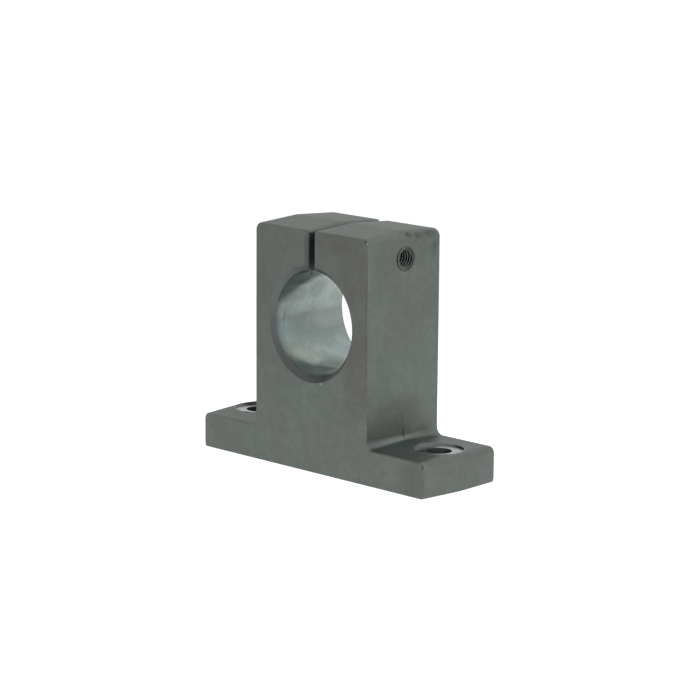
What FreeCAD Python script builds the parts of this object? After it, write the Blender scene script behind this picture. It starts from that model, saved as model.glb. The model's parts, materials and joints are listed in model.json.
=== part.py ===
import FreeCAD, Part
import math
import os
import Sketcher

# Shaft support block of cast iron: a T-shaped casting with a split clamping bore, and its clamp screw.
# X runs along the foot, Y along the bore, Z up. The origin is the middle of the machined base.
# The mould parts on the plane Y = 0, so every wall round the outline leans away from that plane.

# Driving sizes in millimetres: name, value, what it is
SIZES = [
    ("bore_diameter", 25.0, "shaft that the block holds"),
    ("bore_wall", 6.5, "least iron beside the bore"),
    ("bore_chamfer", 1.2, "lead-in at both mouths of the bore"),
    ("centre_height", 35.0, "bore axis above the base"),
    ("clamp_above_bore", 3.9, "clamp screw axis above the bore's top"),
    ("clamp_cover", 6.3, "iron above the clamp screw axis"),
    ("block_thickness", 24.2, "length of the block along the bore"),
    ("draft_angle", 3.4, "lean of the cast walls, degrees"),
    ("foot_reach", 18.0, "foot beyond the tower on each side"),
    ("foot_height", 9.1, "foot at the parting plane"),
    ("base_stock", 2.0, "cast under the base and machined away"),
    ("root_fillet", 1.2, "between tower and foot"),
    ("tower_corner", 2.6, "top corners of the tower"),
    ("foot_corner", 2.2, "top corners of the foot ends"),
    ("base_corner", 3.2, "bottom corners of the foot ends"),
    ("face_edge", 0.5, "rounding round the front and back faces"),
    ("base_edge", 0.15, "break of the machined base's edges"),
    ("slit_width", 1.8, "saw cut that lets the bore close"),
    ("slit_edge", 0.9, "rounding of the saw cut's outer edges"),
    ("foot_hole_diameter", 5.8, "clears an M5 screw"),
    ("foot_hole_edge", 7.0, "foot hole axis from the foot's end"),
    ("seat_diameter", 11.5, "spot face round each foot hole"),
    ("seat_height", 8.3, "spot face above the base"),
    ("thread_diameter", 5.0, "clamp screw, M5"),
    ("thread_clearance", 0.02, "radial play drawn between the screw and its thread"),
    ("shank_clearance", 0.25, "radial play round the screw in its clearance hole"),
    ("tap_mouth", 0.45, "countersink at the tapped hole's mouth"),
    ("screw_length", 25.0, "clamp screw under its head"),
    ("head_diameter", 8.5, "clamp screw head"),
    ("head_height", 5.0, "clamp screw head"),
    ("head_clearance", 0.3, "radial play round the head in its counterbore"),
    ("head_sink", 0.5, "head below the tower's side"),
    ("head_chamfer", 0.4, "outer edge of the head"),
    ("socket_width", 4.0, "hexagon socket across its flats"),
    ("socket_depth", 2.5, "hexagon socket"),
    ("tip_chamfer", 0.6, "end of the screw"),
    ("overrun", 1.0, "how far a cut starts outside the casting"),
]

# Sizes that follow from the driving ones
HALF_THICKNESS = "sizes.block_thickness / 2"
BORE_RADIUS = "sizes.bore_diameter / 2"
MOUTH_RADIUS = "(sizes.bore_diameter / 2 + sizes.bore_chamfer)"
SLIT_HALF = "sizes.slit_width / 2"
TOWER_HALF = "(sizes.bore_diameter / 2 + sizes.bore_wall)"
FOOT_HALF = "(" + TOWER_HALF + " + sizes.foot_reach)"
FOOT_HOLE_X = "(" + FOOT_HALF + " - sizes.foot_hole_edge)"
CLAMP_HEIGHT = "(sizes.centre_height + sizes.bore_diameter / 2 + sizes.clamp_above_bore)"
TOWER_HEIGHT = "(" + CLAMP_HEIGHT + " + sizes.clamp_cover)"
HEAD_SEAT_X = "(sizes.head_sink + sizes.head_height - " + TOWER_HALF + ")"
HEAD_RADIUS = "sizes.head_diameter / 2"
THREAD_RADIUS = "sizes.thread_diameter / 2"
SHANK_RADIUS = "(sizes.thread_diameter / 2 - sizes.thread_clearance)"

START, END, CENTRE = range(1, 4)
LEVEL_AXIS, UPRIGHT_AXIS = range(-1, -3, -1)
ORIGIN = (LEVEL_AXIS, START)
AXIS_TO_HOLD = {"X": UPRIGHT_AXIS, "Y": LEVEL_AXIS}
NEGLIGIBLE = 1e-4  # positions nearer to each other than this count as one


def fill_sheet(sheet):
    """Write every driving size into the sheet, with its name beside it as the cell's alias."""
    for row, (name, value, note) in enumerate(SIZES, start=1):
        sheet.set("A%d" % row, name)
        sheet.set("B%d" % row, str(value))
        sheet.set("C%d" % row, note)
        sheet.setAlias("B%d" % row, name)


def evaluate(formula):
    """Today's value of a formula of the sheet, as a plain number."""
    result = probe.evalExpression(formula)
    return float(getattr(result, "Value", result))


def new_sketch(body, name, role, rise=None):
    """A sketch on one of the body's own planes, its horizontal axis raised by a formula where one is given."""
    sketch = body.newObject("Sketcher::SketchObject", name)
    plane = next(feature for feature in body.Origin.OriginFeatures if feature.Role == role)
    sketch.AttachmentSupport = [(plane, "")]
    sketch.MapMode = "FlatFace"
    if rise:
        sketch.setExpression("AttachmentOffset.Base.y", rise)
    return sketch


def dimension(sketch, constraint, formula):
    """Add a dimension that follows a formula of the sheet."""
    index = sketch.addConstraint(constraint)
    sketch.setExpression("Constraints[%d]" % index, formula)


def hold(sketch, axis, geometry, point, formula):
    """Hold a point's X or Y in the sketch at a formula, on the axis itself where that is nought."""
    value = evaluate(formula)
    if abs(value) < NEGLIGIBLE:
        sketch.addConstraint(Sketcher.Constraint("PointOnObject", geometry, point, AXIS_TO_HOLD[axis]))
    elif value > 0:
        dimension(sketch, Sketcher.Constraint("Distance" + axis, *ORIGIN, geometry, point, value), formula)
    else:
        constraint = Sketcher.Constraint("Distance" + axis, geometry, point, *ORIGIN, -value)
        dimension(sketch, constraint, "-(" + formula + ")")


def polygon(sketch, corners):
    """A closed outline of straight lines through corners, each given as two formulas."""
    points = [FreeCAD.Vector(evaluate(across), evaluate(up), 0) for across, up in corners]
    lines = []
    for number, point in enumerate(points):
        following = points[(number + 1) % len(points)]
        lines.append(sketch.addGeometry(Part.LineSegment(point, following), False))
    for number, (across, up) in enumerate(corners):
        sketch.addConstraint(Sketcher.Constraint("Coincident", lines[number - 1], END, lines[number], START))
        hold(sketch, "X", lines[number], START, across)
        hold(sketch, "Y", lines[number], START, up)


def rounded_outline(sketch, corners):
    """A closed outline of level and upright lines, each corner an arc tangent to both of its lines."""
    count = len(corners)
    points = [FreeCAD.Vector(evaluate(across), evaluate(up), 0) for across, up, radius in corners]
    arcs = []
    ends = []
    for number, (across, up, radius) in enumerate(corners):
        size = evaluate(radius)
        back = (points[number - 1] - points[number]).normalize() * size
        ahead = (points[(number + 1) % count] - points[number]).normalize() * size
        centre = points[number] + back + ahead
        middle = centre - (back + ahead).normalize() * size
        ends.append((points[number] + back, points[number] + ahead))
        arc = Part.Arc(ends[number][0], middle, ends[number][1])
        arcs.append(sketch.addGeometry(arc, False))
    for number, (across, up, radius) in enumerate(corners):
        following = (number + 1) % count
        line = sketch.addGeometry(Part.LineSegment(ends[number][1], ends[following][0]), False)
        join_tangent(sketch, arcs[number], line)
        join_tangent(sketch, line, arcs[following])
        dimension(sketch, Sketcher.Constraint("Radius", arcs[number], evaluate(radius)), radius)
        if up == corners[following][1]:
            sketch.addConstraint(Sketcher.Constraint("Horizontal", line))
            hold(sketch, "Y", line, START, up)
        else:
            sketch.addConstraint(Sketcher.Constraint("Vertical", line))
            hold(sketch, "X", line, START, across)


def join_tangent(sketch, first, second):
    """Make two pieces of an outline meet smoothly where their nearest ends lie."""
    pairs = [(one, two) for one in (START, END) for two in (START, END)]
    one, two = min(pairs, key=lambda pair: gap(sketch, first, second, pair))
    sketch.addConstraint(Sketcher.Constraint("Tangent", first, one, second, two))


def gap(sketch, first, second, pair):
    """How far apart the chosen ends of two pieces of an outline are."""
    return (sketch.getPoint(first, pair[0]) - sketch.getPoint(second, pair[1])).Length


def circle(sketch, across, up, radius):
    """A circle round a point, both given as formulas."""
    centre = FreeCAD.Vector(evaluate(across), evaluate(up), 0)
    shape = Part.Circle(centre, FreeCAD.Vector(0, 0, 1), evaluate(radius))
    geometry = sketch.addGeometry(shape, False)
    dimension(sketch, Sketcher.Constraint("Radius", geometry, evaluate(radius)), radius)
    hold(sketch, "X", geometry, CENTRE, across)
    hold(sketch, "Y", geometry, CENTRE, up)


def cut_through(body, sketch, name):
    """Cut a sketch right through the body, to both sides of its plane."""
    pocket = body.newObject("PartDesign::Pocket", name)
    pocket.Profile = sketch
    pocket.SideType = "Symmetric"
    pocket.Type = "ThroughAll"
    return pocket


def turned_cut(body, sketch, name):
    """Cut what a half section sweeps as it turns round its sketch's horizontal axis."""
    groove = body.newObject("PartDesign::Groove", name)
    groove.Profile = sketch
    groove.ReferenceAxis = (sketch, ["H_Axis"])
    groove.Angle = 360
    return groove


def edges_on(feature, lies_on):
    """Names of a feature's edges whose every end and middle point passes the test."""
    names = []
    for number, edge in enumerate(feature.Shape.Edges, start=1):
        middle = edge.valueAt((edge.FirstParameter + edge.LastParameter) / 2)
        points = [vertex.Point for vertex in edge.Vertexes] + [middle]
        if all(lies_on(point) for point in points):
            names.append("Edge%d" % number)
    return names


def cast_body(body):
    """The T as it leaves the mould: its outline grows thinner both ways from the parting plane."""
    left_foot, left_tower = "-" + FOOT_HALF, "-" + TOWER_HALF
    under = "-sizes.base_stock"
    outline = new_sketch(body, "casting_outline", "XZ_Plane")
    rounded_outline(outline, [
        (left_foot, under, "sizes.base_corner"),
        (FOOT_HALF, under, "sizes.base_corner"),
        (FOOT_HALF, "sizes.foot_height", "sizes.foot_corner"),
        (TOWER_HALF, "sizes.foot_height", "sizes.root_fillet"),
        (TOWER_HALF, TOWER_HEIGHT, "sizes.tower_corner"),
        (left_tower, TOWER_HEIGHT, "sizes.tower_corner"),
        (left_tower, "sizes.foot_height", "sizes.root_fillet"),
        (left_foot, "sizes.foot_height", "sizes.foot_corner"),
    ])
    pad = body.newObject("PartDesign::Pad", "casting")
    pad.Profile = outline
    pad.SideType = "Symmetric"
    pad.setExpression("Length", "sizes.block_thickness")
    pad.setExpression("TaperAngle", "-sizes.draft_angle")
    doc.recompute()
    half = evaluate(HALF_THICKNESS)
    rounding = body.newObject("PartDesign::Fillet", "face_rounding")
    rounding.Base = (pad, edges_on(pad, lambda point: abs(abs(point.y) - half) < NEGLIGIBLE))
    rounding.setExpression("Radius", "sizes.face_edge")
    doc.recompute()


def machined_base(body):
    """The base milled flat on the plane Z = 0, with its edges broken."""
    side = "(" + FOOT_HALF + " + sizes.overrun)"
    below = "-(sizes.base_stock + sizes.overrun)"
    sketch = new_sketch(body, "base_outline", "XZ_Plane")
    polygon(sketch, [("-" + side, below), (side, below), (side, "0"), ("-" + side, "0")])
    milled = cut_through(body, sketch, "base_milling")
    doc.recompute()
    edges = body.newObject("PartDesign::Chamfer", "base_edges")
    edges.Base = (milled, edges_on(milled, lambda point: abs(point.z) < NEGLIGIBLE))
    edges.setExpression("Size", "sizes.base_edge")
    doc.recompute()


def bore(body):
    """The bored seat of the shaft, with a lead-in at each mouth."""
    outside = "(" + HALF_THICKNESS + " + sizes.overrun)"
    flare = "(" + MOUTH_RADIUS + " + sizes.overrun)"
    wall_end = "(" + HALF_THICKNESS + " - sizes.bore_chamfer)"
    section = new_sketch(body, "bore_section", "YZ_Plane", rise="sizes.centre_height")
    polygon(section, [
        ("-" + outside, "0"),
        (outside, "0"),
        (outside, flare),
        (wall_end, BORE_RADIUS),
        ("-" + wall_end, BORE_RADIUS),
        ("-" + outside, flare),
    ])
    turned_cut(body, section, "bored_seat")


def slit(body):
    """The saw cut down into the bore, its edges on the tower's outside rounded."""
    above = "(" + TOWER_HEIGHT + " + sizes.overrun)"
    sketch = new_sketch(body, "slit_outline", "XZ_Plane")
    polygon(sketch, [
        ("-" + SLIT_HALF, "sizes.centre_height"),
        (SLIT_HALF, "sizes.centre_height"),
        (SLIT_HALF, above),
        ("-" + SLIT_HALF, above),
    ])
    saw_cut = cut_through(body, sketch, "saw_cut")
    doc.recompute()
    rounding = body.newObject("PartDesign::Fillet", "slit_rounding")
    rounding.Base = (saw_cut, edges_on(saw_cut, outer_slit_edge))
    rounding.setExpression("Radius", "sizes.slit_edge")
    doc.recompute()


def outer_slit_edge(point):
    """Whether a point is on a wall of the saw cut and outside the bore's lead-in."""
    off_wall = abs(point.x) - evaluate(SLIT_HALF)
    from_axis = math.hypot(point.x, point.z - evaluate("sizes.centre_height"))
    return abs(off_wall) < NEGLIGIBLE and from_axis > evaluate(MOUTH_RADIUS) - NEGLIGIBLE


def clamp_hole(body):
    """The clamp screw's hole across the slit: counterbore, clearance hole, then tapped hole and its mouth."""
    outside = "(" + TOWER_HALF + " + sizes.overrun)"
    counterbore = "(" + HEAD_RADIUS + " + sizes.head_clearance)"
    clearance = "(" + THREAD_RADIUS + " + sizes.shank_clearance)"
    mouth = "(" + TOWER_HALF + " - sizes.tap_mouth)"
    section = new_sketch(body, "clamp_hole_section", "XZ_Plane", rise=CLAMP_HEIGHT)
    polygon(section, [
        ("-" + outside, "0"),
        (outside, "0"),
        (outside, "(" + THREAD_RADIUS + " + sizes.tap_mouth + sizes.overrun)"),
        (mouth, THREAD_RADIUS),
        ("0", THREAD_RADIUS),
        ("0", clearance),
        (HEAD_SEAT_X, clearance),
        (HEAD_SEAT_X, counterbore),
        ("-" + outside, counterbore),
    ])
    turned_cut(body, section, "clamp_screw_hole")


def foot_holes(body):
    """The two fixing holes in the foot and the spot faces that seat their screws."""
    holes = new_sketch(body, "foot_hole_circles", "XY_Plane")
    seats = new_sketch(body, "seat_circles", "XY_Plane")
    seats.setExpression("AttachmentOffset.Base.z", "sizes.seat_height")
    for side in (FOOT_HOLE_X, "-" + FOOT_HOLE_X):
        circle(holes, side, "0", "sizes.foot_hole_diameter / 2")
        circle(seats, side, "0", "sizes.seat_diameter / 2")
    cut_through(body, holes, "foot_screw_holes")
    spot_faces = body.newObject("PartDesign::Pocket", "spot_faces")
    spot_faces.Profile = seats
    spot_faces.Reversed = True
    spot_faces.setExpression("Length", "sizes.foot_height + sizes.overrun")
    doc.recompute()


def support_block():
    """The casting and everything machined into it."""
    body = doc.addObject("PartDesign::Body", "support_block")
    cast_body(body)
    machined_base(body)
    bore(body)
    slit(body)
    clamp_hole(body)
    foot_holes(body)
    return body


def clamp_screw():
    """The socket head cap screw that closes the bore, turned round X with its head seat at X = 0."""
    body = doc.addObject("PartDesign::Body", "clamp_screw")
    section = new_sketch(body, "screw_section", "XZ_Plane")
    polygon(section, [
        ("-sizes.head_height", "0"),
        ("sizes.screw_length", "0"),
        ("sizes.screw_length", SHANK_RADIUS + " - sizes.tip_chamfer"),
        ("sizes.screw_length - sizes.tip_chamfer", SHANK_RADIUS),
        ("0", SHANK_RADIUS),
        ("0", HEAD_RADIUS),
        ("sizes.head_chamfer - sizes.head_height", HEAD_RADIUS),
        ("-sizes.head_height", HEAD_RADIUS + " - sizes.head_chamfer"),
    ])
    turned = body.newObject("PartDesign::Revolution", "head_and_shank")
    turned.Profile = section
    turned.ReferenceAxis = (section, ["H_Axis"])
    turned.Angle = 360
    doc.recompute()
    hexagon = new_sketch(body, "socket_hexagon", "YZ_Plane")
    hexagon.setExpression("AttachmentOffset.Base.z", "-sizes.head_height")
    socket_outline(hexagon)
    socket = body.newObject("PartDesign::Pocket", "hexagon_socket")
    socket.Profile = hexagon
    socket.Reversed = True
    socket.setExpression("Length", "sizes.socket_depth")
    body.setExpression("Placement.Base.x", HEAD_SEAT_X)
    body.setExpression("Placement.Base.z", CLAMP_HEIGHT)
    doc.recompute()
    return body


def socket_outline(sketch):
    """A regular hexagon, its corners on a guide circle and one side level."""
    corner_radius = "sizes.socket_width / sqrt(3)"
    radius = evaluate(corner_radius)
    up = FreeCAD.Vector(0, 0, 1)
    guide = sketch.addGeometry(Part.Circle(FreeCAD.Vector(), up, radius), True)
    sketch.addConstraint(Sketcher.Constraint("Coincident", guide, CENTRE, *ORIGIN))
    dimension(sketch, Sketcher.Constraint("Radius", guide, radius), corner_radius)
    turn = FreeCAD.Rotation(up, 60)
    corners = [FreeCAD.Vector(radius, 0, 0)]
    for number in range(5):
        corners.append(turn.multVec(corners[-1]))
    sides = []
    for number in range(6):
        line = Part.LineSegment(corners[number], corners[(number + 1) % 6])
        sides.append(sketch.addGeometry(line, False))
    for number in range(6):
        sketch.addConstraint(Sketcher.Constraint("Coincident", sides[number - 1], END, sides[number], START))
        sketch.addConstraint(Sketcher.Constraint("PointOnObject", sides[number], START, guide))
        if number:
            sketch.addConstraint(Sketcher.Constraint("Equal", sides[0], sides[number]))
    sketch.addConstraint(Sketcher.Constraint("Horizontal", sides[1]))


def check(document, pieces):
    """Stop unless every object was made and every piece is one valid solid."""
    for item in document.Objects:
        if "Invalid" in item.State or "Error" in item.State:
            raise RuntimeError("%s failed: %s" % (item.Label, item.State))
    for piece in pieces:
        shape = piece.Shape
        if shape.isNull() or not shape.isValid() or len(shape.Solids) != 1:
            raise RuntimeError("%s is not one valid solid" % piece.Label)


os.makedirs("parts", exist_ok=True)
doc = FreeCAD.newDocument("shaft_support_block")
sheet = doc.addObject("Spreadsheet::Sheet", "sizes")
probe = doc.addObject("App::FeaturePython", "probe")
fill_sheet(sheet)
doc.recompute()
block = support_block()
screw = clamp_screw()
doc.removeObject(probe.Name)
doc.recompute()
check(doc, [block, screw])
for piece in (block, screw):
    piece.Shape.exportStep("parts/" + piece.Label + ".step")
    print("%s: %.1f cubic mm" % (piece.Label, piece.Shape.Volume))
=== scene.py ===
import bpy
import json
import math
import numpy as np
from mathutils import Matrix, Vector


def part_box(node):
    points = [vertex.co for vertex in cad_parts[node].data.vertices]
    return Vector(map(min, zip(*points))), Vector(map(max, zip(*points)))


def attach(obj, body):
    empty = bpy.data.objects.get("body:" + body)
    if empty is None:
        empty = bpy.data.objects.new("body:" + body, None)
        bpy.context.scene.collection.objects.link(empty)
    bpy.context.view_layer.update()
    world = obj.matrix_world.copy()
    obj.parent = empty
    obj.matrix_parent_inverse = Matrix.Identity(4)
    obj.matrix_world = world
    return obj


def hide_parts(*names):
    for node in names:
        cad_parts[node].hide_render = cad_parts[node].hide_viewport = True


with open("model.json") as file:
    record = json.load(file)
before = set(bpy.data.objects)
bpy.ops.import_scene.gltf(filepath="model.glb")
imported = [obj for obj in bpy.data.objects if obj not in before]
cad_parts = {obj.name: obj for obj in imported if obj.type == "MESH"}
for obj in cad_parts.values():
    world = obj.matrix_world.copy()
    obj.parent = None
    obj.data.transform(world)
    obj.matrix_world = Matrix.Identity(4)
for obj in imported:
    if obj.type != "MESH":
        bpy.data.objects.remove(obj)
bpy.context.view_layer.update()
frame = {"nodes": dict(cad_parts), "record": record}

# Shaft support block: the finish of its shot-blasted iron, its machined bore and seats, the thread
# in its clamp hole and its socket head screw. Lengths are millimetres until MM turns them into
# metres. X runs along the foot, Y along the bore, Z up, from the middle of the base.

MM = 0.001
FULL_TURN = 2 * math.pi
QUARTER_TURN = math.pi / 2


def in_mm(vector):
    """A place or size in metres as a plain list in millimetres."""
    return [value / MM for value in vector]


# Sizes that the frame gives
MOUNTS = {mount["name"]: mount for mount in frame["record"]["mounts"]}
BORE_HEIGHT = MOUNTS["shaft_bore"]["pos_m"][2] / MM
BORE_RADIUS = MOUNTS["shaft_bore"]["dims"]["r_mm"]
BORE_LAND = MOUNTS["shaft_bore"]["dims"]["length_mm"]
FOOT_HOLE_X = MOUNTS["foot_holes"]["dims"]["spacing_x_mm"] / 2
FOOT_HOLE_RADIUS = MOUNTS["foot_holes"]["dims"]["hole_r_mm"]
SCREW_LOW, SCREW_HIGH = (in_mm(corner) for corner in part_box("clamp_screw"))
FACE_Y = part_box("support_block")[1][1] / MM
CLAMP_HEIGHT = (SCREW_LOW[2] + SCREW_HIGH[2]) / 2
HEAD_RADIUS = (SCREW_HIGH[2] - SCREW_LOW[2]) / 2

# Sizes of the block that its surface follows
TOWER_HALF = 19.0
SLIT_HALF = 0.9
BORE_CHAMFER = 1.2
SEAT_RADIUS, SEAT_HEIGHT = 5.75, 8.3
COUNTERBORE_RADIUS = 4.55
TAP_RADIUS, TAP_MOUTH = 2.5, 0.45

# The thread, M5 coarse: its shift along X, the radius of its pitch line, the nut's and the screw's
# crest and root, the play between their flanks, steps along X for each pitch and points around
PITCH = 0.8
THREAD_SHIFT = 0.4
THREAD_MIDDLE = 2.24
FLANK_SLOPE = math.tan(math.radians(60))
NUT_CREST, NUT_ROOT = 2.09, 2.47
BOLT_ROOT, BOLT_CREST = 2.02, 2.45
THREAD_PLAY = 0.03
NUT_STEPS, BOLT_STEPS = 14, 10
NUT_POINTS = 96

# The lip that the tap leaves at the hole's mouth: it lies a hair under the tower's side and falls to
# a throat a little wider than the crests. The thread's sleeve clears the drilled iron.
HAIR, SLEEVE_GAP = 0.02, 0.015
THROAT_DEPTH, THROAT_STEP, THROAT_WIDER = 0.18, 0.01, 0.08
LIP_X = TOWER_HALF - HAIR
THROAT_X = LIP_X - THROAT_DEPTH
SLEEVE_RADIUS = TAP_RADIUS - SLEEVE_GAP

# The socket head cap screw. The knurl starts and is full at these distances from the edge at the
# head's foot, and stops at the last one from the edge at its top. The thread runs out into the plain
# shank at these shares of a pitch.
HEAD_HEIGHT = 5.0
SOCKET_WIDTH, SOCKET_DEPTH, SOCKET_POINT = 4.0, 2.5, 0.7
SOCKET_FLOOR_SHARE, POINT_RADIUS = 0.96, 0.3
HEAD_EDGE, HEAD_FOOT_EDGE, SOCKET_EDGE = 0.4, 0.15, 0.15
KNURL_TEETH, KNURL_DEPTH, TOOTH_POINTS = 48, 0.07, 4
KNURL_STARTS, KNURL_FULL, KNURL_STOPS = 0.25, 0.4, 0.3
PLAIN_SHANK, TIP_EDGE, NECK_FILLET = 2.4, 0.6, 0.2
RUN_OUT = (0.2, 0.6, 1.0)
ARC_POINTS = 5

# Creases, in degrees, that stay sharp when a piece is shaded smooth
THREAD_CREASE, SCREW_CREASE = 40, 35

# Widths of the patterns on the iron, which come from the shot, the sand and the tools: marks of the
# shot, specks between them, darker and brighter areas, oil film, faint clouds and warmer areas
SHOT_MARK, SPECK = 0.45, 0.7
SHADED_AREA, BRIGHT_AREA, FILM_AREA = 2.4, 2.6, 5.0
CLOUD, WARM_AREA = 9.0, 14.0

# Rings that the tools' feed leaves in the bore and on the seats. Real ones lie 0.1 to 0.2 mm apart,
# too fine to show, so they are drawn as coarse as they need to be, and run long round the bore.
FEED_RING = 0.35
ROUND_THE_BORE = (0.15, 1, 0.15)
ALONG_THE_CUT = (0.8, 1, 0.8)

# Relief of the iron with its dents' and rings' shares of it, and of the screw's oxide with the widths
# of the oxide's grain and uneven shine
IRON_RELIEF, DENT_DEPTH, RING_DEPTH = 0.06, 1.5, 0.07
OXIDE_RELIEF, OXIDE_GRAIN, OXIDE_HAZE = 0.01, 0.25, 0.9

# Light, as shares of pure white: the table's own glow at its brightest and at its rim, the place of
# its brightest point, how far from there it starts and stops falling, the tent at the horizon and
# overhead with the heights between which it brightens, and the share of that which its front left
# and back right sides give, with how far to each side that share is reached
MIDDLE_GLOW, RIM_GLOW = 0.94, 0.44
GLOW_MIDDLE = (30, 30, 0)
GLOW_FALLS_FROM, GLOW_FALLS_TO = 20, 210
HORIZON_LEVEL, ZENITH_LEVEL = 1.0, 1.2
ROOF_STARTS, ROOF_FULL = 0.2, 0.6
FRONT_LEFT_SHARE, BACK_RIGHT_SHARE = 0.885, 1.14
SIDE_REACH = 1.3

# The table's half width and the camera's clip distances, in metres
FLOOR_REACH = 6.0
NEAREST, FARTHEST = 0.01, 50

# The camera that took the photograph: fitted focal length in its 700 pixels, place and turn
PHOTO_WIDTH = 700
FOCAL_PIXELS = 2744.6
SENSOR_WIDTH = 36.0
AZIMUTH, ELEVATION, ROLL = (math.radians(angle) for angle in (44.678, 11.430, 0.440))
CAMERA_DISTANCE = 643.2
AIM = Vector((0.0, 0.0, 30.0))
AIM_ACROSS, AIM_UP = 0.791, -2.588

# How masks are joined: where all of them lie, or where any of them does
ALL, ANY = "MULTIPLY", "MAXIMUM"

# Half sizes of a mask round an axis, or on both sides of a middle plane: endless along that axis or
# plane, and counted in millimetres away from it
ENDLESS = math.inf
ROUND_X, ROUND_Y, ROUND_Z = (ENDLESS, 1, 1), (1, ENDLESS, 1), (1, 1, ENDLESS)
OFF_MIDDLE_X, OFF_MIDDLE_Y = (1, ENDLESS, ENDLESS), (ENDLESS, 1, ENDLESS)
MIDDLE = (0, 0, 0)
BORE_AXIS = (0, 0, BORE_HEIGHT)
CLAMP_AXIS = (0, 0, CLAMP_HEIGHT)
FOOT_HOLE_AXIS = (FOOT_HOLE_X, 0, 0)

# How far past each machined surface its finish is full, and where it has faded out. A surface that
# ends at the block's front and back faces stops short of them.
FINISH_REACH = {"bore": (0.01, 0.05), "mouth": (0.0, 0.15), "seat": (0.03, 0.12), "drilled": (0.05, 0.15),
                "sawn": (0.03, 0.1), "tapped": (0.0, 0.05), "counterbored": (0.05, 0.12),
                "inside_faces": (-0.1, -0.02)}

# The same for what a plane ends: how far along its axis from that plane it is full and faded out
PLANE_REACH = {"front_end": (0.3, 0.9), "seat_floor": (-0.1, -0.3), "above_seat": (0.08, 0.03),
               "slit_foot": (0.0, -1.0), "left_arm": (0.0, 0.5), "base": (0.05, 0.2),
               # The chamfer's lower part, which gets painted shade, and its right side, which gets painted
               # light
               "mouth_low": (-12.0, 2.0), "mouth_right": (9.0, 3.0)}

# The tapped hole's finish: how softly the roots' painted shade ends on a ridge and the lip at its
# throat, how wide the lip's painted outer line is, and how far to each side its painted light front
# turns into its painted shade back
ROOT_SHADE_EDGE, LIP_EDGE, RIM_WIDTH, LIP_TURN = 0.05, 0.02, 0.4, 1.0

# Share of its half size up to which a mark shows in full
MARK_CORE = 0.35

# Marks of this one block, each where the photograph shows it: place, half size along X, Y and Z,
# and how strongly it shows
DENTS = [
    ((18.1, 0.9, 56.9), (0.8, 0.6, 0.8), 0.3),
    ((18.5, 3.8, 56.1), (0.6, 0.5, 0.8), 0.3),
    ((19.4, -0.35, 10.1), (1.2, 0.3, 0.75), 0.7),
    ((19.2, -0.6, 10.9), (0.6, 0.6, 0.35), 0.5),
    ((17.6, -11.8, 56.3), (0.45, 0.45, 1.0), 0.5),
    ((36.0, -12.0, 7.4), (0.3, 0.3, 0.9), 0.6),
    ((-7.2, -4.7, 45.2), (0.6, 0.55, 0.6), 0.9),
    ((-28.1, -5.5, 8.7), (0.8, 1.0, 0.6), 1.0),
    ((-5.4, -12.1, 47.7), (0.4, 0.3, 0.4), 0.4),
]
SCRATCHES = [
    ((-12.4, -8.1, 35.2), (1.0, 0.25, 1.6), 0.4),
    ((-12.4, -8.6, 34.0), (1.0, 0.2, 1.0), 0.3),
    ((-11.2, -0.3, 40.4), (1.0, 0.2, 1.2), 0.2),
]
# Painted highlights: glints on front right edges and corners, a seat's rim and under the bore
PAINTED_HIGHLIGHTS = [
    ((3.6, -12.1, 21.5), (0.5, 0.3, 0.5), 0.35),
    ((18.0, -11.8, 55.9), (0.25, 0.25, 0.6), 0.3),
    ((36.3, -11.4, 7.5), (0.2, 0.3, 0.5), 0.3),
    ((18.35, -11.5, 48.0), (0.3, 0.3, 10.0), 0.08),
    ((24.8, 3.2, 8.65), (0.6, 0.8, 0.4), 0.6),
]
# Painted shade on the bore, the lower right side, the right seat, the edges and beside the slit
PAINTED_SHADE_PATCHES = [
    ((18.4, 1.4, 56.7), (1.2, 1.6, 1.2), 0.6),
    ((18.5, 4.6, 56.4), (1.2, 2.2, 1.0), 0.6),
    ((18.3, 8.6, 56.6), (1.4, 3.0, 1.6), 0.6),
    ((18.9, 10.2, 53.0), (1.0, 2.0, 3.4), 0.6),
    ((19.3, -0.4, 11.2), (1.2, 0.7, 2.4), 0.5),
    ((18.1, -12.0, 36.0), (0.4, 0.4, 24.0), 0.45),
    ((19.5, -10.5, 10.0), (1.5, 3.0, 1.5), 0.35),
    ((19.0, -1.0, 15.5), (2.0, 12.0, 5.5), 0.35),
    ((19.5, 8.0, 11.0), (2.0, 6.0, 3.0), 0.4),
    ((33.5, -12.1, 4.0), (6.0, 2.0, 7.0), 0.3),
    ((36.3, -12.0, 3.5), (0.4, 0.4, 5.0), 0.5),
    ((37.0, 0.0, 4.5), (1.5, 14.0, 8.0), 0.15),
    ((-8.9, -6.5, 44.0), (3.0, 5.5, 2.8), 0.4),
    ((-9.7, -3.9, 43.0), (1.8, 5.0, 1.8), 0.5),
    ((-7.6, -0.6, 44.6), (3.4, 6.0, 3.6), 0.4),
    ((-11.2, 0.9, 40.5), (3.6, 4.6, 4.6), 0.38),
    ((-11.4, -5.4, 39.6), (3.0, 6.5, 3.4), 0.45),
    ((27.6, -3.0, 8.3), (2.4, 1.2, 0.4), 0.6),
    ((26.5, -1.0, 8.4), (2.5, 4.0, 0.6), 0.3),
    ((-5.4, 1.2, 23.7), (4.0, 5.0, 2.4), 0.35),
    ((-4.5, -0.3, 23.4), (4.5, 7.0, 1.5), 0.55),
    ((-12.4, -5.9, 36.9), (2.5, 4.0, 2.2), 0.35),
    ((-11.8, 1.0, 31.5), (5.0, 15.0, 8.0), 0.3),
    ((-0.9, -12.1, 52.0), (1.5, 0.8, 9.0), 0.75),
]
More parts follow.
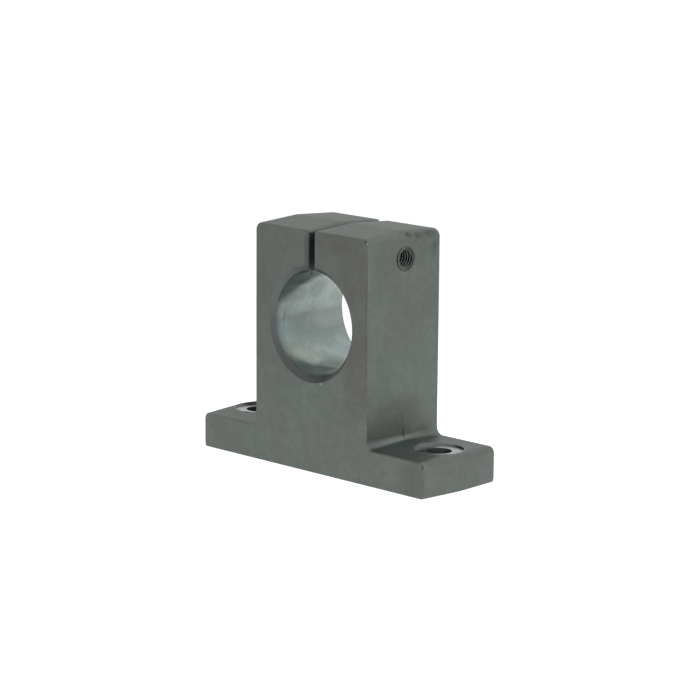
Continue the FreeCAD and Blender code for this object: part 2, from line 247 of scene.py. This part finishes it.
# Brown stains on the front's upper right, drawn darker as painted shade of that part
STAINS_AND_PAINTED_SHADE = [
    ((15.5, -12.1, 49.0), (9.0, 0.8, 13.0), 0.45),
    ((10.0, -12.1, 55.0), (12.0, 0.8, 5.0), 0.45),
    ((16.0, -12.1, 26.0), (7.0, 0.8, 16.0), 0.45),
    ((17.0, -12.1, 50.0), (2.6, 0.8, 9.0), 0.45),
]
# Painted light tinted warm: light patches low in the bore and a highlight band on the right root
WARM_PAINTED_LIGHT = [
    ((-8.9, -7.2, 26.4), (2.6, 2.8, 2.2), 0.4),
    ((-6.9, -4.6, 25.0), (2.4, 3.0, 2.0), 0.3),
    ((19.6, -3.0, 9.9), (1.2, 8.0, 1.1), 0.25),
]
# Painted light: a light reflection on the bore's left wall
PAINTED_BORE_LIGHT = [
    ((-12.4, 6.4, 33.4), (3.0, 8.0, 4.4), 0.2),
]
# Painted light tinted cool: patches in the bore and on the right foot's top
COOL_PAINTED_LIGHT = [
    ((-11.9, -8.6, 31.2), (3.0, 3.4, 5.0), 0.45),
    ((-7.6, 5.4, 25.2), (3.0, 5.0, 3.0), 0.45),
    ((23.5, -5.0, 8.8), (8.0, 9.0, 1.2), 0.35),
    ((30.0, 2.0, 9.0), (12.0, 14.0, 1.2), 0.22),
]


def linear(hex_colour):
    """An sRGB hex colour as the four linear values that a shader takes."""
    levels = [int(hex_colour[place:place + 2], 16) / 255 for place in (1, 3, 5)]
    return tuple(c / 12.92 if c <= 0.04045 else ((c + 0.055) / 1.055) ** 2.4 for c in levels) + (1.0,)


def add(tree, kind, inputs=None, **settings):
    """Add one node with its settings, and set or link its inputs.

    An input takes a number, a vector, a hex colour, a socket, or a node for the output that it has
    in use.
    """
    made = tree.nodes.new(kind)
    for name, value in settings.items():
        setattr(made, name, value)
    for key, value in (inputs or {}).items():
        if isinstance(value, bpy.types.Node):
            value = next(output for output in value.outputs if output.enabled)
        if isinstance(value, bpy.types.NodeSocket):
            tree.links.new(value, made.inputs[key])
        else:
            made.inputs[key].default_value = linear(value) if isinstance(value, str) else value
    return made


def new_material(name):
    """An empty material: its tree, and the point being shaded in the frame's metres."""
    material = bpy.data.materials.new(name)
    material.use_nodes = True
    tree = material.node_tree
    tree.nodes.clear()
    return material, tree, add(tree, "ShaderNodeTexCoord").outputs["Object"]


def close_material(tree, finish):
    """Shade a material by one shader with these inputs."""
    shader = add(tree, "ShaderNodeBsdfPrincipled", finish)
    add(tree, "ShaderNodeOutputMaterial", {"Surface": shader})


def fade(tree, value, full, none):
    """One where the value lies beyond `full`, nought beyond `none`, a smooth step between them."""
    ends = {"Value": value, "From Min": none, "From Max": full}
    return add(tree, "ShaderNodeMapRange", ends, interpolation_type="SMOOTHSTEP")


def near(tree, place, centre, half, full, none):
    """A mask that is one up to `full` half sizes from a centre and nought past `none` of them.

    The offset is divided by the half size along each axis, so that unequal ones make an ellipsoid and
    endless ones a cylinder or a slab. Where `full` is the larger, the mask lies outside instead.
    """
    offset = add(tree, "ShaderNodeVectorMath", {0: place, 1: [value * MM for value in centre]},
                 operation="SUBTRACT")
    counted = add(tree, "ShaderNodeVectorMath", {0: offset, 1: [1 / (size * MM) for size in half]},
                  operation="MULTIPLY")
    distance = add(tree, "ShaderNodeVectorMath", {0: counted}, operation="LENGTH")
    return fade(tree, distance, full, none)


def beyond(tree, place, axis, full, none):
    """A mask along one axis, one past `full` millimetres and nought before `none`, either way round."""
    value = add(tree, "ShaderNodeSeparateXYZ", {0: place}).outputs[axis]
    return fade(tree, value, full * MM, none * MM)


def joined(tree, operation, *masks):
    """Masks joined by one operation, one after another."""
    total = masks[0]
    for mask in masks[1:]:
        total = add(tree, "ShaderNodeMath", {0: total, 1: mask}, operation=operation)
    return total


def painted(tree, below, coats):
    """Colours laid over one another in turn, each where its mask lies."""
    for mask, colour in coats:
        below = add(tree, "ShaderNodeMix", {0: mask, 6: below, 7: colour}, data_type="RGBA")
    return below


def levelled(tree, below, levels):
    """Numbers put in place of one another in turn, each where its mask lies."""
    for mask, level in levels:
        below = add(tree, "ShaderNodeMix", {0: mask, 2: below, 3: level}, data_type="FLOAT")
    return below


def mottle(tree, place, width, detail=2.0, rough=0.5, stretch=(1, 1, 1)):
    """Noise whose blobs are `width` millimetres across, drawn out along an axis where `stretch` is small."""
    spread = add(tree, "ShaderNodeMapping", {"Vector": place, "Scale": stretch})
    settings = {"Vector": spread, "Scale": 1 / (width * MM), "Detail": detail, "Roughness": rough}
    return add(tree, "ShaderNodeTexNoise", settings)


def marks(tree, place, table):
    """A mask over every mark of a table, each an ellipsoid that fades at its rim."""
    spots = [joined(tree, ALL, near(tree, place, centre, half, MARK_CORE, 1.0), share)
             for centre, half, share in table]
    return joined(tree, ANY, *spots)


def block_masks(tree, place):
    """Where each machined surface of the block lies: within so far of its own axis or middle plane.

    Both foot holes share one mask, because the point is folded over to the right half for them.
    """
    axes = add(tree, "ShaderNodeSeparateXYZ", {0: place}).outputs
    side = add(tree, "ShaderNodeMath", {0: axes["X"]}, operation="ABSOLUTE")
    folded = add(tree, "ShaderNodeCombineXYZ", {"X": side, "Y": axes["Y"], "Z": axes["Z"]})

    def finish(name, size, centre, half, point=place):
        full, none = FINISH_REACH[name]
        return near(tree, point, centre, half, size + full, size + none)

    def ended(name, axis, plane):
        full, none = PLANE_REACH[name]
        return beyond(tree, place, axis, plane + full, plane + none)

    bore = finish("bore", BORE_RADIUS, BORE_AXIS, ROUND_Y)
    mouth = finish("mouth", BORE_RADIUS + BORE_CHAMFER, BORE_AXIS, ROUND_Y)
    inside_faces = finish("inside_faces", FACE_Y, MIDDLE, OFF_MIDDLE_Y)
    seat = joined(tree, ALL, finish("seat", SEAT_RADIUS, FOOT_HOLE_AXIS, ROUND_Z, folded),
                  ended("seat_floor", "Z", SEAT_HEIGHT))
    sawn = finish("sawn", SLIT_HALF, MIDDLE, OFF_MIDDLE_X)
    tapped = finish("tapped", TAP_RADIUS + TAP_MOUTH, CLAMP_AXIS, ROUND_X)
    counterbored = finish("counterbored", COUNTERBORE_RADIUS, CLAMP_AXIS, ROUND_X)
    counterbored = joined(tree, ALL, counterbored, ended("left_arm", "X", 0))
    return {"bore": bore,
            "rim": joined(tree, ALL, bore, ended("front_end", "Y", -BORE_LAND / 2)),
            "mouth": joined(tree, ALL, mouth, inside_faces),
            # The chamfer's lower part and right side, for its painted shade and painted light
            "mouth_low": ended("mouth_low", "Z", BORE_HEIGHT),
            "mouth_right": ended("mouth_right", "X", 0),
            "seat": seat,
            # The spot-face walls, which are painted lighter as painted light
            "seat_wall": joined(tree, ALL, seat, ended("above_seat", "Z", SEAT_HEIGHT)),
            "drilled": finish("drilled", FOOT_HOLE_RADIUS, FOOT_HOLE_AXIS, ROUND_Z, folded),
            "sawn": joined(tree, ALL, sawn, ended("slit_foot", "Z", BORE_HEIGHT)),
            "tapped": joined(tree, ANY, tapped, counterbored),
            "base": ended("base", "Z", 0)}


def blasted_skin(tree, place, clouds, specks):
    """The blasted skin: an even grey in faint clouds, specked, a little warm here and darker there."""
    warm = fade(tree, mottle(tree, place, WARM_AREA), 0.62, 0.42)
    shaded = fade(tree, mottle(tree, place, SHADED_AREA, 4.0, 0.75), 0.38, 0.62)
    return painted(tree, "#616763", [
        (clouds, "#6b716c"),
        (joined(tree, ALL, warm, specks, 0.5), "#605e58"),
        (joined(tree, ALL, specks, 0.45), "#6c726d"),
        (joined(tree, ALL, shaded, 0.3), "#565b57"),
    ])


def bare_cut_metal(tree, place, patches, specks, rings):
    """Iron under the tool: bright in soft patches, specked by its graphite, oily and faintly ringed."""
    film = fade(tree, mottle(tree, place, FILM_AREA), 0.68, 0.5)
    return painted(tree, "#7a8581", [
        (fade(tree, patches, 0.7, 0.35), "#8d9793"),
        (joined(tree, ALL, specks, 0.35), "#67716e"),
        (joined(tree, ALL, film, 0.2), "#827f79"),
        (joined(tree, ALL, rings, 0.15), "#68726f"),
    ])


def shot_blasted_iron():
    """Grey cast iron, sand cast, shot blasted and left bare, then machined where it seats things.

    Blasting leaves a dark even grey with a fine grain and faint cloudy patches, and no shine except at
    a grazing angle. Cutting lays bright iron open: fine boring rings, spot-face rings, a milled base.
    Handling adds dull nicks and brown stains. Painted shade darkens the bore's roof, floor and left
    wall, the lower right side, the front right edges, the right seat's left and the chamfer's lower
    part, and deepens the stains. Painted light, warm, cool and plain, lightens patches in the bore,
    the right root and the right foot's top, the chamfer's right side and the spot-face walls, and
    painted highlights sit on edges and a seat's rim.
    """
    material, tree, place = new_material("shot_blasted_cast_iron")
    mask = block_masks(tree, place)
    machined = joined(tree, ANY, mask["bore"], mask["seat"], mask["base"])
    cut = joined(tree, ANY, mask["drilled"], mask["sawn"], mask["tapped"])
    clouds = fade(tree, mottle(tree, place, CLOUD, 3.0, 0.6), 0.68, 0.32)
    specks = fade(tree, mottle(tree, place, SPECK, 2.0, 0.7), 0.72, 0.28)
    patches = mottle(tree, place, BRIGHT_AREA, 4.0, 0.65, ALONG_THE_CUT)
    rings = mottle(tree, place, FEED_RING, 2.0, 0.6, ROUND_THE_BORE)
    uneven = levelled(tree, 0.5, [(fade(tree, patches, 0.6, 0.3), 1.0)])
    dents = marks(tree, place, DENTS)
    nicks = joined(tree, ANY, dents, marks(tree, place, SCRATCHES))
    painted_shade_patches = joined(tree, ALL, marks(tree, place, PAINTED_SHADE_PATCHES), uneven)

    # The chamfer: painted shade on its lower part, painted light on its right side
    mouth = painted(tree, "#5f6562", [(mask["mouth_low"], "#525554"), (mask["mouth_right"], "#747877")])
    colour = painted(tree, blasted_skin(tree, place, clouds, specks), [
        (mask["mouth"], mouth),
        (machined, bare_cut_metal(tree, place, patches, specks, rings)),
        (joined(tree, ALL, mask["rim"], 0.3), "#3e4a49"),
        (mask["seat"], painted(tree, "#7c807f", [(patches, "#969a98")])),
        # Painted light: the spot-face walls lighter than their floors
        (mask["seat_wall"], "#9a9d99"),
        (cut, "#6c706f"),
        (mask["tapped"], "#565957"),
        # Painted shade, darker where the iron is uneven
        (painted_shade_patches, "#4c4f4c"),
        # Brown stains, darkened further as painted shade
        (joined(tree, ALL, marks(tree, place, STAINS_AND_PAINTED_SHADE), uneven), "#5c564f"),
        # Painted light: warm, plain and cool light patches
        (marks(tree, place, WARM_PAINTED_LIGHT), "#8f8a7e"),
        (marks(tree, place, COOL_PAINTED_LIGHT), "#7e8d91"),
        (marks(tree, place, PAINTED_BORE_LIGHT), "#acb4b0"),
        (nicks, "#363836"),
        # Painted highlights
        (marks(tree, place, PAINTED_HIGHLIGHTS), "#aeb1ac"),
    ])
    rough = levelled(tree, 0.49, [
        (clouds, 0.55), (machined, 0.2), (mask["seat"], 0.26), (mask["seat_wall"], 0.36), (cut, 0.45),
        (nicks, 0.8),
    ])
    grazing = painted(tree, "#e4e4e4", [(machined, "#ffffff"), (painted_shade_patches, "#9a9a9a"), (nicks, "#202020")])

    feed = joined(tree, ALL, rings, RING_DEPTH)
    relief = levelled(tree, mottle(tree, place, SHOT_MARK, 3.0, 0.65),
                      [(joined(tree, ANY, machined, cut), feed)])
    relief = add(tree, "ShaderNodeMath", {0: dents, 1: -DENT_DEPTH, 2: relief}, operation="MULTIPLY_ADD")
    bump = add(tree, "ShaderNodeBump", {"Height": relief, "Distance": IRON_RELIEF * MM, "Strength": 0.7})
    close_material(tree, {"Base Color": colour, "Roughness": rough, "Normal": bump, "Metallic": 1.0,
                          "Specular Tint": grazing})
    return material


def tapped_iron():
    """Cast iron cut by a tap: bright crests and flanks, roots in painted shade near black.

    The shallow lip at the mouth is dull and grey like the skin round it, with painted light on its
    front side and painted shade on its back, each ringed by a painted outer line.
    """
    material, tree, place = new_material("tapped_cast_iron")
    crest = near(tree, place, CLAMP_AXIS, ROUND_X, NUT_CREST + ROOT_SHADE_EDGE, NUT_ROOT - ROOT_SHADE_EDGE)
    lip = beyond(tree, place, "X", THROAT_X + LIP_EDGE, THROAT_X)
    rim = near(tree, place, CLAMP_AXIS, ROUND_X, TAP_RADIUS + RIM_WIDTH, TAP_RADIUS)
    front = beyond(tree, place, "Y", -LIP_TURN, LIP_TURN)
    # The lip's painted shade at the back and painted light at the front, each with a painted outer line
    back_lip_painted_shade = painted(tree, "#3c403e", [(rim, "#5c605c")])
    front_lip_painted_light = painted(tree, "#5c605c", [(rim, "#474b48")])
    # Roots painted near black as painted shade, crests bright
    colour = painted(tree, "#1c1e1f", [
        (crest, "#666964"),
        (lip, painted(tree, back_lip_painted_shade, [(front, front_lip_painted_light)])),
    ])
    close_material(tree, {"Base Color": colour, "Roughness": levelled(tree, 0.38, [(lip, 0.5)]),
                          "Metallic": 1.0})
    return material


def black_oxide_steel():
    """Alloy steel screw, rolled thread and cold-forged head, blacked in hot salts and oiled.

    The oxide is a thin blue-black skin with a soft oily shine, rubbed grey on the knurl's tops.
    """
    material, tree, place = new_material("black_oxide_steel")
    rubbed = near(tree, place, CLAMP_AXIS, ROUND_X, HEAD_RADIUS + 0.01, HEAD_RADIUS - KNURL_DEPTH)
    haze = mottle(tree, place, OXIDE_HAZE, 3.0, 0.6)
    colour = painted(tree, "#2f3134", [(haze, "#45474a"), (joined(tree, ALL, rubbed, 0.5), "#77797b")])
    bump = add(tree, "ShaderNodeBump", {"Height": mottle(tree, place, OXIDE_GRAIN),
                                        "Distance": OXIDE_RELIEF * MM, "Strength": 0.5})
    close_material(tree, {"Base Color": colour, "Roughness": levelled(tree, 0.32, [(haze, 0.46)]),
                          "Normal": bump, "Metallic": 1.0})
    return material


def light_table_acrylic():
    """Matt white acrylic of a light table, lit from below so that it keeps only a faint shadow."""
    material, tree, place = new_material("white_light_table_acrylic")
    middle = near(tree, place, GLOW_MIDDLE, ROUND_Z, GLOW_FALLS_FROM, GLOW_FALLS_TO)
    close_material(tree, {"Base Color": "#bcbcbc", "Roughness": 1.0, "Specular IOR Level": 0.0,
                          "Emission Color": "#ffffff",
                          "Emission Strength": levelled(tree, RIM_GLOW, [(middle, MIDDLE_GLOW)])})
    return material


def ring_mesh(name, rows, material, closed_rows):
    """A mesh from rings of points: rows x columns x 3, each row a closed loop round the X axis.

    Neighbouring rows are joined by quads. The last row joins the first where `closed_rows` is true,
    and otherwise each end row is shut by a fan to its own middle point.
    """
    count, around = rows.shape[:2]
    points = rows.reshape(-1, 3)
    number = np.arange(count * around).reshape(count, around)
    ahead = np.roll(number, -1, axis=1)
    if closed_rows:
        first, second = number, np.roll(number, -1, axis=0)
        first_ahead, second_ahead = ahead, np.roll(ahead, -1, axis=0)
    else:
        first, second = number[:-1], number[1:]
        first_ahead, second_ahead = ahead[:-1], ahead[1:]
    quads = np.stack([first, first_ahead, second_ahead, second], axis=-1).reshape(-1, 4)
    faces = quads.tolist()
    if not closed_rows:
        middles = np.stack([rows[0].mean(axis=0), rows[-1].mean(axis=0)])
        start, end = len(points), len(points) + 1
        points = np.concatenate([points, middles])
        faces += np.stack([ahead[0], number[0], np.full(around, start)], axis=-1).tolist()
        faces += np.stack([number[-1], ahead[-1], np.full(around, end)], axis=-1).tolist()
    mesh = bpy.data.meshes.new(name)
    mesh.from_pydata((points * MM).tolist(), [], faces)
    mesh.update()
    piece = bpy.data.objects.new(name, mesh)
    bpy.context.scene.collection.objects.link(piece)
    mesh.materials.append(material)
    return piece


def thread_radius(along, angle, root, crest):
    """Radius of a 60 degree thread: a triangular wave that moves one pitch along per turn, cut flat.

    The wave is nought at the pitch line and rises or falls a flank's slope for each millimetre.
    """
    phase = ((along - THREAD_SHIFT) / PITCH - angle / FULL_TURN) % 1.0
    wave = (0.25 - np.abs(phase - 0.5)) * PITCH
    low, high = min(root, crest), max(root, crest)
    return np.clip(THREAD_MIDDLE + wave * FLANK_SLOPE, low, high)


def around_clamp_axis(along, radius, angle):
    """Points at a distance along X and a radius and angle round the clamp screw's axis."""
    along = np.broadcast_to(along, radius.shape)
    return np.stack([along, radius * np.cos(angle), CLAMP_HEIGHT + radius * np.sin(angle)], axis=-1)


def tapped_thread(material):
    """The internal thread in the right arm: a sleeve whose inner wall carries the ridges.

    The inner wall is the thread's wave up to a throat just under the mouth, where the tap has pushed
    the iron out into a shallow lip. Beside the saw cut it falls away at 45 degrees. The outer wall
    lies just inside the drilled iron: a plain cylinder, then the 45 degree countersink.
    """
    start = SLIT_HALF + HAIR
    steps = int((THROAT_X - start) / PITCH * NUT_STEPS)
    along = np.linspace(start, THROAT_X, steps)[:, None]
    angle = np.linspace(0, FULL_TURN, NUT_POINTS, endpoint=False)[None, :]
    ridge = thread_radius(along, angle, NUT_CREST - THREAD_PLAY, NUT_ROOT - THREAD_PLAY) + THREAD_PLAY
    from_slit = NUT_ROOT - (along - start)
    inner = np.clip(np.maximum(ridge, from_slit), 0, NUT_ROOT)
    mouth_along = np.array([[THROAT_X + THROAT_STEP]])
    mouth = np.full(angle.shape, NUT_CREST + THROAT_WIDER)
    outer_along = np.array([[LIP_X], [TOWER_HALF - TAP_MOUTH], [start]])
    outer = np.array([[SLEEVE_RADIUS + TAP_MOUTH - HAIR], [SLEEVE_RADIUS], [SLEEVE_RADIUS]])
    outer = np.broadcast_to(outer, (len(outer), NUT_POINTS))
    rows = np.concatenate([around_clamp_axis(along, inner, angle),
                           around_clamp_axis(mouth_along, mouth, angle),
                           around_clamp_axis(outer_along, outer, angle)])
    piece = ring_mesh("clamp_hole_thread", rows, material, closed_rows=True)
    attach(piece, "root")
    return piece


def hexagon_radius(angle, width):
    """Distance from the middle of a hexagon to its side at each angle: half the width across the flats,
    over the cosine of the angle from the middle of that side."""
    sector = FULL_TURN / 6
    return width / 2 / np.cos((angle + sector / 2) % sector - sector / 2)


def cap_screw(material):
    """The clamp screw as one turned surface, row by row from its tip to the bottom of its socket.

    The thread is the same wave as the tapped hole's, faded out at the tip and under the head. The
    head's side carries straight knurling, a cosine round the axis, and its socket is a hexagon.
    """
    tip, head = SCREW_HIGH[0], SCREW_LOW[0]
    seat = head + HEAD_HEIGHT
    angle = np.linspace(0, FULL_TURN, KNURL_TEETH * TOOTH_POINTS, endpoint=False)[None, :]
    quarter = np.linspace(0, QUARTER_TURN, ARC_POINTS)
    rows = []

    def ring(x, radius):
        radius = np.broadcast_to(radius, angle.shape)
        rows.append(around_clamp_axis(np.array([[x]]), radius, angle))

    tip_radius = BOLT_CREST - TIP_EDGE
    ring(tip, tip_radius / 2)
    ring(tip, tip_radius)
    steps = int((tip - seat - PLAIN_SHANK) / PITCH * BOLT_STEPS)
    for x in np.linspace(tip - HAIR, seat + PLAIN_SHANK, steps):
        ring(x, np.minimum(thread_radius(x, angle, BOLT_ROOT, BOLT_CREST), tip_radius + (tip - x)))
    for share in RUN_OUT:
        x = seat + PLAIN_SHANK - share * PITCH
        ring(x, thread_radius(x, angle, BOLT_ROOT, BOLT_CREST) * (1 - share) + BOLT_CREST * share)
    for turn in quarter:
        ring(seat + NECK_FILLET * (1 - math.sin(turn)), BOLT_CREST + NECK_FILLET * (1 - math.cos(turn)))

    knurl = KNURL_DEPTH * (0.5 - 0.5 * np.cos(angle * KNURL_TEETH))
    under_knurl = HEAD_RADIUS - KNURL_DEPTH
    head_foot = seat - HEAD_FOOT_EDGE
    ring(seat, HEAD_RADIUS - HEAD_FOOT_EDGE - KNURL_DEPTH)
    ring(head_foot, under_knurl)
    ring(head_foot - KNURL_STARTS, under_knurl)
    ring(head_foot - KNURL_FULL, HEAD_RADIUS - knurl)
    ring(head + HEAD_EDGE + KNURL_STOPS, HEAD_RADIUS - knurl)
    for turn in quarter:
        ring(head + HEAD_EDGE * (1 - math.sin(turn)), under_knurl - HEAD_EDGE * (1 - math.cos(turn)))

    flats = hexagon_radius(angle, SOCKET_WIDTH)
    socket_floor = head + SOCKET_DEPTH
    ring(head, SOCKET_WIDTH / math.sqrt(3) + SOCKET_EDGE)
    ring(head + SOCKET_EDGE, flats)
    ring(socket_floor, flats)
    ring(socket_floor, SOCKET_WIDTH / 2 * SOCKET_FLOOR_SHARE)
    ring(socket_floor + SOCKET_POINT, POINT_RADIUS)
    piece = ring_mesh("socket_cap_screw", np.concatenate(rows), material, closed_rows=False)
    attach(piece, "root")
    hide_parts("clamp_screw")
    return piece


def smooth_by_angle(piece, degrees):
    """Shade a piece smooth, with a crease wherever two faces meet at more than so many degrees."""
    mesh = piece.data
    mesh.shade_smooth()
    mesh.set_sharp_from_angle(angle=math.radians(degrees))


def floor(material):
    """A wide flat sheet at the base's level that fills the view to beyond its far edge."""
    low, high = -FLOOR_REACH, FLOOR_REACH
    mesh = bpy.data.meshes.new("studio_floor")
    mesh.from_pydata([(low, low, 0), (high, low, 0), (high, high, 0), (low, high, 0)], [], [(0, 1, 2, 3)])
    mesh.materials.append(material)
    sheet = bpy.data.objects.new("studio_floor", mesh)
    bpy.context.scene.collection.objects.link(sheet)


def studio():
    """A white light tent, brighter towards its roof and behind the block on the right."""
    world = bpy.data.worlds.new("light_tent")
    bpy.context.scene.world = world
    world.use_nodes = True
    tree = world.node_tree
    tree.nodes.clear()
    direction = add(tree, "ShaderNodeTexCoord").outputs["Generated"]
    height = add(tree, "ShaderNodeSeparateXYZ", {0: direction}).outputs["Z"]
    roof = levelled(tree, HORIZON_LEVEL, [(fade(tree, height, ROOF_FULL, ROOF_STARTS), ZENITH_LEVEL)])
    rightward = add(tree, "ShaderNodeVectorMath", {0: direction, 1: (1, 1, 0)}, operation="DOT_PRODUCT")
    side = add(tree, "ShaderNodeMapRange", {"Value": rightward, "From Min": -SIDE_REACH,
                                            "From Max": SIDE_REACH, "To Min": FRONT_LEFT_SHARE,
                                            "To Max": BACK_RIGHT_SHARE})
    background = add(tree, "ShaderNodeBackground", {"Color": "#ffffff",
                                                    "Strength": joined(tree, ALL, roof, side)})
    add(tree, "ShaderNodeOutputWorld", {"Surface": background})
    bpy.context.scene.view_settings.view_transform = "Standard"


def photo_camera():
    """The camera at the photograph's view: its three axes from azimuth, elevation and roll."""
    back = Vector((math.sin(AZIMUTH) * math.cos(ELEVATION), -math.cos(AZIMUTH) * math.cos(ELEVATION),
                   math.sin(ELEVATION)))
    right = Vector((math.cos(AZIMUTH), math.sin(AZIMUTH), 0))
    up = back.cross(right)
    rolled_right = math.cos(ROLL) * right + math.sin(ROLL) * up
    rolled_up = math.cos(ROLL) * up - math.sin(ROLL) * right
    place = AIM + AIM_ACROSS * right + AIM_UP * up + CAMERA_DISTANCE * back
    data = bpy.data.cameras.new("photo_camera")
    data.sensor_width = SENSOR_WIDTH
    data.lens = FOCAL_PIXELS * SENSOR_WIDTH / PHOTO_WIDTH
    data.clip_start, data.clip_end = NEAREST, FARTHEST
    camera = bpy.data.objects.new("photo_camera", data)
    bpy.context.scene.collection.objects.link(camera)
    turn = Matrix((rolled_right, rolled_up, back)).transposed().to_4x4()
    camera.matrix_world = Matrix.Translation(place * MM) @ turn
    bpy.context.scene.camera = camera


def assign(node, material):
    """Give a node of the frame one material in place of its plain one."""
    for slot in frame["nodes"][node].material_slots:
        slot.material = material


iron = shot_blasted_iron()
steel = black_oxide_steel()
assign("support_block", iron)
assign("clamp_screw", steel)
smooth_by_angle(tapped_thread(tapped_iron()), THREAD_CREASE)
smooth_by_angle(cap_screw(steel), SCREW_CREASE)
floor(light_table_acrylic())
studio()
photo_camera()
